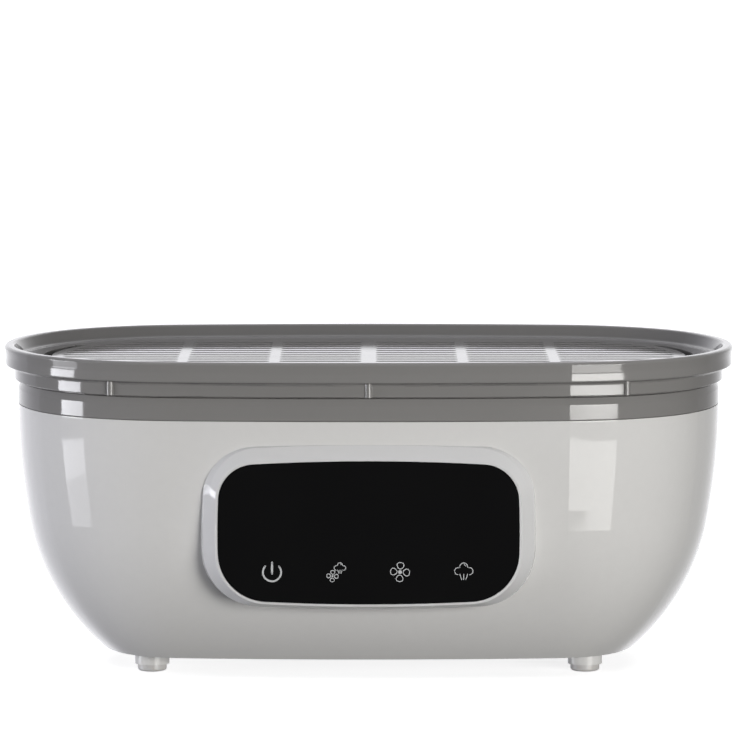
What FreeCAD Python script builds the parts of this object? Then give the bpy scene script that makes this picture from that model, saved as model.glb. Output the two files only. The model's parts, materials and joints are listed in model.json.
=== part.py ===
"""Bottle steriliser and dryer: base unit with touch panel, and the rack tray that lifts off it.

Millimetres, +Z up, -Y is the front with the touch panel, +X is to the user's right.
The origin is on the table, under the middle of the base.
"""
import FreeCAD, Part
import Sketcher
import math
import os
import re

Vector = FreeCAD.Vector
UP = Vector(0, 0, 1)
TINY = 1e-4

SIZES = {
    # plan outline of the base, seen from above: bowed faces and ends joined by round corners
    "half_width": 150.3,
    "half_depth": 92.0,
    "face_radius": 824.0,
    "end_radius": 110.3,
    "corner_radius": 69.8,
    # levels above the table
    "base_bottom": 7.8,
    "band_bottom": 111.9,
    "base_top": 121.5,
    "rim_bottom": 128.5,
    "rim_top": 136.9,
    # side curve of the white housing, as insets from the plan outline
    "wall": 2.6,
    "high_knee_level": 92.7,
    "high_knee_radius": 255.0,
    "low_knee_inset": 9.1,
    "low_knee_level": 31.0,
    "low_knee_radius": 96.0,
    "bottom_inset": 35.2,
    "lip_inset": 39.5,
    "joint_gap": 0.3,
    # trim ring
    "ring_wall": 3.2,
    "ring_lip": 2.9,
    "ring_lean": 0.75,
    "ledge_inset": 9.8,
    "ledge_top": 114.0,
    "tongue_bottom": 106.5,
    # basin
    "flange_top": 116.2,
    "basin_floor": 92.2,
    "basin_wall": 2.2,
    "basin_inset": 16.0,
    "basin_draft": 3.6,
    "sill_width": 2.5,
    "sill_height": 1.2,
    "boss_radius": 3.6,
    "boss_height": 2.8,
    # rack tray
    "rim_overhang": 6.0,
    "rim_land": 4.2,
    "tray_floor_top": 131.5,
    "tray_floor_thick": 1.8,
    "skirt_wall": 3.0,
    "skirt_overhang": 1.5,
    "skirt_bottom": 121.8,
    "collar_bottom": 117.3,
    "collar_inset": 4.7,
    "slot_width": 4.2,
    "slot_pitch": 10.0,
    "slot_margin": 18.8,
    "end_slot_inset": 10.6,
    "end_slot_width": 3.8,
    "end_slot_half_length": 46.0,
    "rib_spacing": 106.9,
    "rib_width": 3.0,
    "rib_rise": 1.35,
    # control panel on the front
    "glass_half_width": 62.3,
    "glass_low": 36.6,
    "glass_high": 96.0,
    "glass_front": 94.9,
    "glass_thick": 2.2,
    "glass_low_corner": 20.5,
    "glass_high_corner": 15.0,
    "glass_face_radius": 860.0,
    "glass_side_radius": 330.0,
    "bezel_edge": 0.8,
    "window_half_width": 54.0,
    "window_low": 44.0,
    "window_high": 88.0,
    "board_y": -84.2,
    "board_thick": 1.6,
    "panel_board_width": 104.0,
    "panel_board_height": 40.0,
    "board_margin": 4.0,
    "board_hole_radius": 1.6,
    "board_screw_radius": 1.2,
    "display_width": 66.0,
    "display_height": 20.0,
    "display_level": 76.0,
    "touch_pad_radius": 3.5,
    "buzzer_x": 38.0,
    "buzzer_radius": 5.0,
    "buzzer_depth": 4.5,
    "icon_level": 50.0,
    "icon_pitch": 26.4,
    "icon_middle": -0.3,
    # heating plate and what clamps it
    "plate_x": -50.0,
    "plate_hole_radius": 46.0,
    "plate_radius": 52.0,
    "plate_thick": 1.2,
    "seal_thick": 1.6,
    "element_radius": 34.0,
    "element_tube_radius": 3.6,
    "clamp_screw_radius": 57.0,
    "clamp_thick": 1.6,
    "thermostat_radius": 8.0,
    "fuse_radius": 2.0,
    "fuse_length": 12.0,
    # drying fan, heater and outlet
    "fan_x": 84.0,
    "fan_half": 33.0,
    "fan_low": 44.0,
    "fan_high": 64.0,
    "fan_bore_radius": 30.0,
    "hub_radius": 15.0,
    "blade_tip_radius": 28.8,
    "blade_count": 7,
    "blade_half_thick": 0.7,
    "hub_wall": 1.6,
    "strut_width": 3.0,
    "fan_screw_margin": 4.5,
    "motor_radius": 12.0,
    "motor_high": 57.0,
    "shaft_radius": 1.5,
    "bearing_clearance": 0.05,
    "duct_high": 90.0,
    "duct_wall": 2.0,
    "chimney_radius": 25.0,
    "chimney_bore": 22.0,
    "chimney_high": 110.0,
    "cap_radius": 29.0,
    "cap_high": 124.0,
    "cap_wall": 2.0,
    "cap_slot_count": 16,
    "cap_slot_width": 3.2,
    "ptc_half": 26.0,
    "ptc_low": 70.0,
    "ptc_thick": 11.0,
    "fin_pitch": 4.4,
    "fin_gap": 3.0,
    # air filter behind the rear cover
    "filter_x": 46.0,
    "filter_z": 60.0,
    "cover_half_width": 32.0,
    "cover_half_height": 20.0,
    "filter_half_width": 27.0,
    "filter_half_height": 15.0,
    "filter_back": 64.0,
    "filter_thick": 12.0,
    "filter_frame": 1.5,
    "filter_fold_count": 9,
    "louvre_pitch": 5.2,
    "louvre_height": 2.2,
    "louvre_margin": 7.0,
    # power inlet on the rear
    "inlet_x": -60.0,
    "inlet_z": 50.0,
    "inlet_half_width": 15.5,
    "inlet_half_height": 12.0,
    "inlet_face": 90.5,
    "inlet_depth": 22.0,
    "socket_half_width": 12.2,
    "socket_half_height": 8.2,
    "pin_pitch": 7.0,
    # power electronics
    "power_board_x": -12.0,
    "power_board_z": 16.0,
    "power_board_width": 88.0,
    "power_board_depth": 58.0,
    "power_board_margin": 5.0,
    "thick_wire_radius": 1.3,
    "thin_wire_radius": 0.8,
    # screws
    "screw_radius": 1.5,
    "screw_head_radius": 2.8,
    "screw_head": 1.8,
    "screw_pilot_radius": 1.55,
    "screw_clearance": 1.8,
    "deck_screw_pilot_radius": 1.35,
    # feet and bottom cover
    "foot_x": 92.0,
    "foot_y": 34.0,
    "foot_radius": 7.4,
    "pad_radius": 6.2,
    "pad_height": 3.0,
    "pad_rounding": 1.2,
    "cover_thick": 2.6,
    "post_x": 60.0,
    "post_y": 43.0,
    "post_radius": 4.2,
    "post_height": 15.0,
    "post_pilot_radius": 1.45,
    "rib_thick": 2.2,
    "board_post_radius": 3.4,
    "recess_radius": 3.4,
    "recess_depth": 1.4,
    "vent_length": 32.0,
    "vent_width": 2.4,
    "vent_pitch": 5.5,
}

doc = FreeCAD.newDocument("Steriliser")
sheet = doc.addObject("Spreadsheet::Sheet", "Sizes")
for row, (alias, number) in enumerate(SIZES.items(), start=1):
    sheet.set("A%d" % row, alias)
    sheet.set("B%d" % row, str(number))
    sheet.setAlias("B%d" % row, alias)
doc.recompute()

nodes = []


def bound(formula):
    """A formula of sheet aliases, as an expression of another object."""
    return re.sub(r"\b([a-z][a-z_0-9]+)\b", r"Sizes.\1", str(formula))


def size(formula):
    """The value of a formula of sheet aliases."""
    return float(sheet.evalExpression(bound(formula)))


def bind(item, prop, formula):
    item.setExpression(prop, bound(formula))


def keep(item, label):
    """Name a finished sub-part and list it for export."""
    item.Label = label
    nodes.append(item)
    return item


# ---- outlines -----------------------------------------------------------------------------


def crossing(centre_a, reach_a, centre_b, reach_b, toward):
    """The point at two given distances from two centres, on the side that `toward` points to."""
    span = centre_b - centre_a
    along = (reach_a ** 2 - reach_b ** 2 + span.Length ** 2) / (2 * span.Length)
    aside = math.sqrt(reach_a ** 2 - along ** 2)
    unit = span / span.Length
    foot = centre_a + unit * along
    across = Vector(-unit.y, unit.x, 0) * aside
    return max((foot + across, foot - across), key=lambda point: point.dot(toward))


def bowed_arcs(half_width, low, high, face_radius, end_radius, low_corner, high_corner):
    """Eight tangent arcs of a bowed rectangle, as (centre, radius, start, end) going round."""
    middle = (low + high) / 2
    lower = (Vector(0, low + face_radius, 0), face_radius)
    upper = (Vector(0, high - face_radius, 0), face_radius)
    right = (Vector(half_width - end_radius, middle, 0), end_radius)
    left = (Vector(end_radius - half_width, middle, 0), end_radius)
    sides = (lower, right, upper, left)
    corners = []
    for index, (toward, radius) in enumerate((
            (Vector(1, -1, 0), low_corner), (Vector(1, 1, 0), high_corner),
            (Vector(-1, 1, 0), high_corner), (Vector(-1, -1, 0), low_corner))):
        near, after = sides[index], sides[(index + 1) % 4]
        centre = crossing(near[0], near[1] - radius, after[0], after[1] - radius, toward)
        corners.append((centre, radius))
    arcs = []
    for index, (centre, radius) in enumerate(sides):
        before, after = corners[index - 1], corners[index]
        following = sides[(index + 1) % 4][0]
        arcs.append((centre, radius, heading(before[0] - centre), heading(after[0] - centre)))
        arcs.append((after[0], after[1], heading(after[0] - centre),
                     heading(after[0] - following)))
    return [(c, r, start, start + (end - start) % (2 * math.pi)) for c, r, start, end in arcs]


def heading(vector):
    return math.atan2(vector.y, vector.x)


def on_circle(centre, radius, angle):
    return centre + Vector(math.cos(angle), math.sin(angle), 0) * radius


def arc_wire(arcs, inset, place):
    """The closed wire of an outline moved in by `inset`, put in space by `place`."""
    edges = []
    for centre, radius, start, end in arcs:
        stops = [on_circle(centre, radius - inset, angle)
                 for angle in (start, (start + end) / 2, end)]
        edges.append(Part.Arc(*[place(stop) for stop in stops]).toShape())
    return Part.Wire(edges)


def rounded_edges(corners, closed=True):
    """Straight runs joined by tangent arcs, from (point, radius) corners."""
    stops = []
    for index, (point, radius) in enumerate(corners):
        if radius == 0:
            stops.append((point, point, point))
            continue
        back = (corners[index - 1][0] - point).normalize()
        ahead = (corners[(index + 1) % len(corners)][0] - point).normalize()
        half = back.getAngle(ahead) / 2
        reach = radius / math.tan(half)
        bisector = (back + ahead).normalize()
        middle = point + bisector * (radius / math.sin(half) - radius)
        stops.append((point + back * reach, middle, point + ahead * reach))
    edges = []
    for index, (start, middle, end) in enumerate(stops):
        if (end - start).Length > TINY:
            edges.append(Part.Arc(start, middle, end).toShape())
        if closed or index < len(stops) - 1:
            following = stops[(index + 1) % len(stops)][0]
            if (following - end).Length > TINY:
                edges.append(Part.makeLine(end, following))
    return edges


def upright(solid):
    """The same solid, turned right side out."""
    if solid.Volume < 0:
        solid.reverse()
    return solid


PLAN = bowed_arcs(size("half_width"), -size("half_depth"), size("half_depth"),
                  size("face_radius"), size("end_radius"),
                  size("corner_radius"), size("corner_radius"))


def ring(corners):
    """A profile of (inset, level, corner radius) swept round the plan outline."""
    sectors = []
    for centre, radius, start, end in PLAN:
        profile = [(on_circle(centre, radius - inset, start) + UP * level, bend)
                   for inset, level, bend in corners]
        face = Part.Face(Part.Wire(rounded_edges(profile)))
        sectors.append(upright(face.revolve(centre, UP, math.degrees(end - start))))
    return sectors[0].multiFuse(sectors[1:]).removeSplitter()


def slab(inset, low, high):
    """A flat plate with the plan outline, moved in by `inset`."""
    wire = arc_wire(PLAN, inset, lambda point: point + UP * low)
    return Part.Face(wire).extrude(UP * (high - low))


def rounded_block(low, high, radius, axis):
    """A box whose four edges along `axis` are rounded."""
    block = Part.makeBox(*(high - low), low)
    edges = [edge for edge in block.Edges
             if abs(abs((edge.Vertexes[1].Point - edge.Vertexes[0].Point).dot(axis))
                    - edge.Length) < TINY]
    return block.makeFillet(radius, edges)


def rod(radius, low, high, centre_x, centre_y):
    return Part.makeCylinder(radius, high - low, Vector(centre_x, centre_y, low))


def feature(label, shape):
    """A sub-part whose shape is made from the sheet's sizes by the functions above."""
    item = doc.addObject("Part::Feature", label)
    item.Shape = shape
    return keep(item, label)


# ---- bound objects ------------------------------------------------------------------------


def cylinder(name, radius, height, at, axis=UP):
    item = doc.addObject("Part::Cylinder", name)
    bind(item, "Radius", radius)
    bind(item, "Height", height)
    item.Placement.Rotation = FreeCAD.Rotation(UP, axis)
    for letter, formula in zip("xyz", at):
        bind(item, "Placement.Base." + letter, formula)
    return item


def block(name, sizes, at):
    """A box given by its three sizes and the middle of its lowest face."""
    item = doc.addObject("Part::Box", name)
    for prop, formula in zip(("Length", "Width", "Height"), sizes):
        bind(item, prop, formula)
    bind(item, "Placement.Base.x", "(%s) - (%s) / 2" % (at[0], sizes[0]))
    bind(item, "Placement.Base.y", "(%s) - (%s) / 2" % (at[1], sizes[1]))
    bind(item, "Placement.Base.z", at[2])
    return item


def cut(name, base, tool):
    item = doc.addObject("Part::Cut", name)
    item.Base = base
    item.Tool = tool
    return item


def fuse(name, items):
    item = doc.addObject("Part::MultiFuse", name)
    item.Shapes = items
    return item


def new_body(label):
    return keep(doc.addObject("PartDesign::Body", label), label)


def sketch_on(body, role, lift="0"):
    """A sketch on one of the body's origin planes, lifted along its normal."""
    sketch = body.newObject("Sketcher::SketchObject", body.Name + "_sketch")
    plane = next(item for item in body.Origin.OriginFeatures if item.Role == role)
    sketch.AttachmentSupport = [(plane, "")]
    sketch.MapMode = "FlatFace"
    bind(sketch, "AttachmentOffset.Base.z", lift)
    return sketch


def pin(sketch, geometry, point, across, along):
    """Tie one point of a sketch to two formulas."""
    for kind, formula in (("DistanceX", across), ("DistanceY", along)):
        constraint = Sketcher.Constraint(kind, -1, 1, geometry, point, size(formula))
        index = sketch.addConstraint(constraint)
        bind(sketch, "Constraints[%d]" % index, formula)


def polygon(sketch, points):
    spots = [Vector(size(across), size(along), 0) for across, along in points]
    first = sketch.GeometryCount
    for index, spot in enumerate(spots):
        sketch.addGeometry(Part.LineSegment(spot, spots[(index + 1) % len(spots)]))
    for index, (across, along) in enumerate(points):
        before = first + (index - 1) % len(points)
        sketch.addConstraint(Sketcher.Constraint("Coincident", before, 2, first + index, 1))
        pin(sketch, first + index, 1, across, along)


def rectangle(sketch, across, along, width, height):
    left, right = "(%s) - (%s) / 2" % (across, width), "(%s) + (%s) / 2" % (across, width)
    low, high = "(%s) - (%s) / 2" % (along, height), "(%s) + (%s) / 2" % (along, height)
    polygon(sketch, [(left, low), (right, low), (right, high), (left, high)])


def circle(sketch, across, along, radius):
    spot = Vector(size(across), size(along), 0)
    geometry = sketch.addGeometry(Part.Circle(spot, UP, size(radius)))
    pin(sketch, geometry, 3, across, along)
    index = sketch.addConstraint(Sketcher.Constraint("Radius", geometry, size(radius)))
    bind(sketch, "Constraints[%d]" % index, radius)


def pad(body, sketch, length):
    item = body.newObject("PartDesign::Pad", body.Name + "_pad")
    item.Profile = sketch
    bind(item, "Length", length)
    sketch.Visibility = False
    body.Tip = item
    return item


def turned(label, x, y, points):
    """A body turned about a vertical axis at x, y, from (radius, level) points."""
    body = new_body(label)
    sketch = sketch_on(body, "XZ_Plane", "-(%s)" % y)
    polygon(sketch, [("(%s) + (%s)" % (x, radius), level) for radius, level in points])
    axis = sketch.addGeometry(Part.LineSegment(Vector(size(x), 0, 0), Vector(size(x), 10, 0)),
                              True)
    pin(sketch, axis, 1, x, "0")
    pin(sketch, axis, 2, x, "10")
    item = body.newObject("PartDesign::Revolution", label + "_turn")
    item.Profile = sketch
    item.ReferenceAxis = (sketch, ["Axis0"])
    item.Angle = 360
    body.Tip = item
    return body


def screws(label, spots, low, high, head_low, radius=None, head_radius=None, head=None):
    """A group of equal upright screws, one separate solid for each place."""
    radius = radius or size("screw_radius")
    head_radius = head_radius or size("screw_head_radius")
    head = head or size("screw_head")
    solids = []
    for x, y in spots:
        shank = rod(radius, low, high, x, y)
        solids.append(shank.fuse(rod(head_radius, head_low, head_low + head, x, y)))
    return feature(label, Part.makeCompound(solids))


def wires(label, routes, radius):
    """A group of insulated wires, each along straight runs joined by arcs."""
    solids = []
    for route in routes:
        points = [Vector(*point) for point in route]
        corners = [(points[0], 0)]
        for before, point, after in zip(points, points[1:], points[2:]):
            run = min((point - before).Length, (after - point).Length)
            turn = (point - before).getAngle(after - point)
            corners.append((point, 0.45 * run / math.tan(turn / 2)))
        corners.append((points[-1], 0))
        path = Part.Wire(rounded_edges(corners, closed=False))
        section = Part.Wire(Part.makeCircle(radius, points[0], points[1] - points[0]))
        solids.append(path.makePipeShell([section], True, False))
    return feature(label, Part.makeCompound(solids))


# ---- housing ------------------------------------------------------------------------------

SIDE = [(0, size("band_bottom"), 0),
        (0, size("high_knee_level"), size("high_knee_radius")),
        (size("low_knee_inset"), size("low_knee_level"), size("low_knee_radius")),
        (size("bottom_inset"), size("base_bottom"), 0)]


def moved_in(side, depth):
    """The side curve moved into the body by `depth`, along its normal."""
    turns = [math.atan2(after[0] - before[0], before[1] - after[1])
             for before, after in zip(side, side[1:])]
    starts = [turns[0]] + turns
    ends = turns + [turns[-1]]
    moved = []
    for (inset, level, bend), start, end in zip(side, starts, ends):
        normal = (start + end) / 2
        step = depth / math.cos((end - start) / 2)
        moved.append((inset + step * math.cos(normal), level + step * math.sin(normal),
                      max(bend - depth, 0)))
    return moved


def shell_profile():
    inner = moved_in(SIDE, size("wall"))
    lip_level = inner[-1][1]
    lip = [(size("lip_inset"), size("base_bottom"), 0), (size("lip_inset"), lip_level, 0)]
    inner[0] = (inner[0][0], size("band_bottom"), 0)
    return SIDE + lip + inner[::-1]


def filled_side(grow=0.0):
    """The outer 50 mm of the body as if it were solid, grown by `grow`."""
    outer = moved_in(SIDE, -grow)
    depth = 50
    return ring(outer + [(depth, size("base_bottom"), 0), (depth, size("band_bottom"), 0)])


def window():
    low = Vector(-size("window_half_width"), -size("half_depth") - 10, size("window_low"))
    high = Vector(size("window_half_width"), -60, size("window_high"))
    return rounded_block(low, high, 9, Vector(0, 1, 0))


def filter_opening(grow):
    half_width = size("cover_half_width") + grow
    half_height = size("cover_half_height") + grow
    x, z = size("filter_x"), size("filter_z")
    low = Vector(x - half_width, 60, z - half_height)
    high = Vector(x + half_width, size("half_depth") + 5, z + half_height)
    return rounded_block(low, high, 6 + grow, Vector(0, 1, 0))


def inlet_block(grow, back, front):
    half_width = size("inlet_half_width") + grow
    half_height = size("inlet_half_height") + grow
    x, z = size("inlet_x"), size("inlet_z")
    low = Vector(x - half_width, back, z - half_height)
    high = Vector(x + half_width, front, z + half_height)
    return rounded_block(low, high, 3 + grow, Vector(0, 1, 0))


def post_places():
    x, y = size("post_x"), size("post_y")
    return [(sx * x, sy * y) for sx in (-1, 1) for sy in (-1, 1)]


def make_housing():
    shell = ring(shell_profile())
    shell = shell.cut(window())
    shell = shell.cut(filter_opening(size("joint_gap") + 0.1))
    shell = shell.cut(inlet_block(0.2, 60, size("half_depth") + 5))
    low = size("base_bottom") + size("cover_thick") + size("joint_gap")
    tall, thick = size("post_height"), size("rib_thick")
    wide = 24
    posts = []
    for x, y in post_places():
        post = rod(size("post_radius"), low, low + tall, x, y)
        corner = Vector(x - thick / 2, y if y > 0 else y - wide, low)
        pilot = rod(size("post_pilot_radius"), low - 1, low + tall - 3, x, y)
        posts.append(post.fuse(Part.makeBox(thick, wide, tall, corner)).cut(pilot))
    posts = [post.common(filled_side(-0.5)) for post in posts]
    feature("base_housing", shell.multiFuse(posts).removeSplitter())


def make_trim_ring():
    top, bottom = size("base_top"), size("band_bottom") + 0.1
    tongue = size("wall") + size("joint_gap")
    band = ring([
        (0, bottom, 0.5), (0, top - size("ring_lip"), 0.25), (size("ring_lean"), top, 0.4),
        (size("ring_wall"), top, 0.4),
        (size("ring_wall"), size("ledge_top"), 0),
        (size("ledge_inset"), size("ledge_top"), 0.4),
        (size("ledge_inset"), bottom, 0.4), (tongue + 2, bottom, 0),
        (tongue + 2, size("tongue_bottom"), 0.4), (tongue, size("tongue_bottom"), 0.4),
        (tongue, bottom, 0)])
    pilots = [rod(size("deck_screw_pilot_radius"), bottom - 1, top, x, y)
              for x, y in deck_screw_places()]
    feature("trim_ring", band.cut(pilots))


def clamp_places():
    reach, x = size("clamp_screw_radius"), size("plate_x")
    return [(x + reach * math.cos(math.radians(angle)), reach * math.sin(math.radians(angle)))
            for angle in (60, 180, 300)]


def deck_screw_places():
    inset = (size("ring_wall") + size("ledge_inset")) / 2 + 0.4
    places = []
    for centre, radius, start, end in PLAN:
        spot = on_circle(centre, radius - inset, (start + end) / 2)
        places.append((spot.x, spot.y))
    return places


def make_basin():
    flange = size("flange_top")
    floor = size("basin_floor")
    wall = size("basin_wall")
    inset = size("basin_inset")
    draft = size("basin_draft")
    edge = size("ring_wall") + 0.4
    ledge = size("ledge_top") + 0.1
    middle = 32
    pan = ring([
        (edge, ledge, 0), (edge, flange, 0.5), (inset - draft, flange, 1.5), (inset, floor, 5),
        (middle, floor, 0), (middle, floor - wall, 0), (inset - wall, floor - wall, 7),
        (inset - draft - wall, ledge, 0)])
    pan = pan.fuse(slab(middle - 1, floor - wall, floor))
    fan_x, plate_x = size("fan_x"), size("plate_x")
    pan = pan.fuse(rod(size("chimney_radius"), floor - wall, size("chimney_high"), fan_x, 0))
    pan = pan.cut(rod(size("chimney_bore"), floor - 10, flange + 10, fan_x, 0))
    hole = size("plate_hole_radius")
    sill = rod(hole + size("sill_width"), floor, floor + size("sill_height"), plate_x, 0)
    pan = pan.fuse(sill).cut(rod(hole, floor - 10, flange, plate_x, 0))
    for x, y in clamp_places():
        pan = pan.fuse(rod(size("boss_radius"), floor - wall - size("boss_height"),
                           floor - wall, x, y))
        pan = pan.cut(rod(size("screw_pilot_radius"), floor - wall - 4, floor - 0.8, x, y))
    for x, y in deck_screw_places():
        pan = pan.cut(rod(size("screw_clearance") - 0.1, size("ledge_top"), flange + 1, x, y))
    feature("basin_deck", pan.removeSplitter())
    screws("deck_screws", deck_screw_places(), size("ledge_top") - 1.5, flange + 0.1,
           flange + 0.05, radius=1.3, head_radius=2.6, head=0.9)


# ---- rack tray ----------------------------------------------------------------------------


def reach(y, inset):
    """How far the plan outline, moved in by `inset`, reaches in x at a given y."""
    for centre, radius, start, end in PLAN:
        rise = (y - centre.y) / (radius - inset)
        if abs(rise) < 1:
            for angle in (math.asin(rise), math.asin(rise) + 2 * math.pi):
                if start - TINY <= angle <= end + TINY:
                    return centre.x + (radius - inset) * math.cos(angle)
    raise ValueError("the outline does not reach y = %s" % y)


def front_at(x, inset):
    """The y of the front of the plan outline, moved in by `inset`, at a given x."""
    for centre, radius, start, end in PLAN:
        run = (x - centre.x) / (radius - inset)
        if abs(run) < 1:
            angle = -math.acos(run)
            for turn in (angle, angle + 2 * math.pi):
                if start - TINY <= turn <= end + TINY:
                    return centre.y + (radius - inset) * math.sin(turn)
    raise ValueError("the outline has no front at x = %s" % x)


def slot(start, end, y):
    """An upright tool for one round-ended slot along x through the tray floor."""
    radius = size("slot_width") / 2
    low = size("tray_floor_top") - size("tray_floor_thick") - 1
    high = size("tray_floor_top") + 1
    near, far = start + radius, end - radius
    bar = Part.makeBox(far - near, 2 * radius, high - low, Vector(near, y - radius, low))
    return bar.multiFuse([rod(radius, low, high, x, y) for x in (near, far)])


def tray_slots():
    """Rows of slots along the rack, and one curved slot across each end."""
    tools = []
    columns = ((3, 38), (42, 77))
    for row in range(-6, 7):
        y = row * size("slot_pitch")
        edge = reach(y, size("slot_margin"))
        for start, end in columns + ((81, edge),):
            tools += [slot(start, end, y), slot(-end, -start, y)]
    inner = size("end_slot_inset") + size("end_slot_width")
    low, high = size("tray_floor_top") - 5, size("tray_floor_top") + 1
    band = ring([(size("end_slot_inset"), low, 0), (inner, low, 0), (inner, high, 0),
                 (size("end_slot_inset"), high, 0)])
    half = size("end_slot_half_length")
    for near in (-size("half_width"), size("half_width") - 50):
        tools.append(band.common(Part.makeBox(50, 2 * half, 20, Vector(near, -half, low - 5))))
    return tools


def make_tray():
    top, low = size("rim_top"), size("rim_bottom")
    over, land = size("rim_overhang"), size("rim_land")
    floor = size("tray_floor_top")
    under = floor - size("tray_floor_thick")
    bottom = size("skirt_bottom")
    skirt = size("skirt_overhang")
    inner = size("skirt_wall")
    middle = 20
    body = ring([
        (-over, top, 1.3), (0.7 - over, top - 4.5, 8), (0.55 - over, low, 0.7),
        (-skirt, low - 0.9, 1.1), (-skirt, bottom + 0.6, 0.4), (0, bottom, 0.2),
        (inner, bottom, 0.3), (inner, under, 0), (middle, under, 0), (middle, floor, 0),
        (0.4, floor, 1.6), (land - over, top, 1.3)])
    collar = size("collar_inset")
    body = body.fuse(ring([(collar, size("collar_bottom"), 0.3),
                           (collar + 1.8, size("collar_bottom"), 0.3),
                           (collar + 1.8, under + 0.5, 0), (collar, under + 0.5, 0)]))
    radius = size("rib_width") / 2
    axis = skirt + size("rib_rise") - radius
    ribs = []
    for x in (-size("rib_spacing"), 0, size("rib_spacing")):
        y = front_at(x, -axis)
        ribs += [rod(radius, bottom + 0.5, low + 0.4, x, side * y) for side in (-1, 1)]
    body = body.multiFuse(ribs + [slab(middle - 1, under, floor)])
    feature("rack_tray", body.cut(tray_slots()).removeSplitter())


# ---- control panel ------------------------------------------------------------------------


def panel_arcs(grow_side, grow_low, grow_high):
    """The bowed outline of the glass, grown by different amounts at the sides, foot and head."""
    grow = (grow_side + grow_high) / 2
    return bowed_arcs(size("glass_half_width") + grow_side, size("glass_low") - grow_low,
                      size("glass_high") + grow_high, size("glass_face_radius") + grow,
                      size("glass_side_radius") + grow, size("glass_low_corner") + grow_low,
                      size("glass_high_corner") + grow)


def panel_wire(arcs, y):
    return arc_wire(arcs, 0, lambda point: Vector(point.x, y, point.y))


def panel_prism(grow, front, back):
    """A plate with the glass outline, from one y to another."""
    wire = panel_wire(panel_arcs(grow, grow, grow), front)
    return upright(Part.Face(wire).extrude(Vector(0, back - front, 0)))


def make_bezel():
    front = -size("glass_front") - 0.3
    edge = size("bezel_edge")
    sections = [panel_wire(panel_arcs(edge + side, edge + foot, edge + head), front + depth)
                for side, foot, head, depth in (
                    (0, 0, 0, 0), (0.5, 0.3, 0.6, 0.25), (2.9, 1.2, 5.6, 3.2),
                    (5.6, 2.2, 6.8, 6.6), (6.3, 2.7, 7.3, 10), (6.6, 3.0, 7.6, 22))]
    body = upright(Part.makeLoft(sections, True, True))
    glass_back = size("glass_thick") - size("glass_front")
    body = body.cut(panel_prism(0.1, front - 1, glass_back + 0.1))
    body = body.cut(panel_prism(-2.6, front - 1, front + 30))
    body = body.cut(filled_side(0.05))
    solids = sorted(body.Solids, key=lambda solid: solid.Volume)
    feature("control_bezel", solids[-1])


def make_panel():
    glass_front = -size("glass_front")
    glass_back = glass_front + size("glass_thick")
    feature("touch_glass", panel_prism(-0.05, glass_front, glass_back))
    gasket = panel_prism(-2.7, glass_back + 0.1, glass_back + 0.9)
    feature("panel_gasket", gasket.cut(panel_prism(-6.5, glass_back, glass_back + 2)))

    board = new_body("control_board")
    middle = "(window_low + window_high) / 2"
    sketch = sketch_on(board, "XZ_Plane", "-board_y")
    rectangle(sketch, "0", middle, "panel_board_width", "panel_board_height")
    for across in ("-1", "1"):
        for along in ("-1", "1"):
            circle(sketch, across + " * (panel_board_width / 2 - board_margin)",
                   "%s + %s * (panel_board_height / 2 - board_margin)" % (middle, along),
                   "board_hole_radius")
    pad(board, sketch, "board_thick")

    display = new_body("display_module")
    sketch = sketch_on(display, "XZ_Plane", "glass_front - glass_thick - 1.2")
    rectangle(sketch, "0", "display_level", "display_width", "display_height")
    display_pad = pad(display, sketch, "glass_front - glass_thick - 1.6 + board_y - board_thick")
    display_pad.Reversed = True

    pads = []
    for place in (-1.5, -0.5, 0.5, 1.5):
        pads.append(cylinder("touch_pad", "touch_pad_radius",
                             "glass_front - glass_thick - 0.4 + board_y - board_thick",
                             ("icon_middle + %s * icon_pitch" % place,
                              "board_y - board_thick - 0.1", "icon_level"), Vector(0, -1, 0)))
    keep(fuse("touch_pads", pads), "touch_pads")
    keep(cylinder("buzzer", "buzzer_radius", "buzzer_depth",
                  ("buzzer_x", "board_y + 0.1", "display_level"), Vector(0, 1, 0)), "buzzer")
    half_width = size("panel_board_width / 2 - board_margin")
    half_height = size("panel_board_height / 2 - board_margin")
    level = size(middle)
    solids = []
    for across in (-1, 1):
        for along in (-1, 1):
            start = Vector(across * half_width, size("board_y"), level + along * half_height)
            shank = Part.makeCylinder(size("board_screw_radius"), 6,
                                      start - Vector(0, 4.5, 0), Vector(0, 1, 0))
            head = Part.makeCylinder(2 * size("board_screw_radius"), 1.4,
                                     start + Vector(0, 0.1, 0), Vector(0, 1, 0))
            solids.append(shank.fuse(head))
    feature("board_screws", Part.makeCompound(solids))


# ---- heating ------------------------------------------------------------------------------


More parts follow.
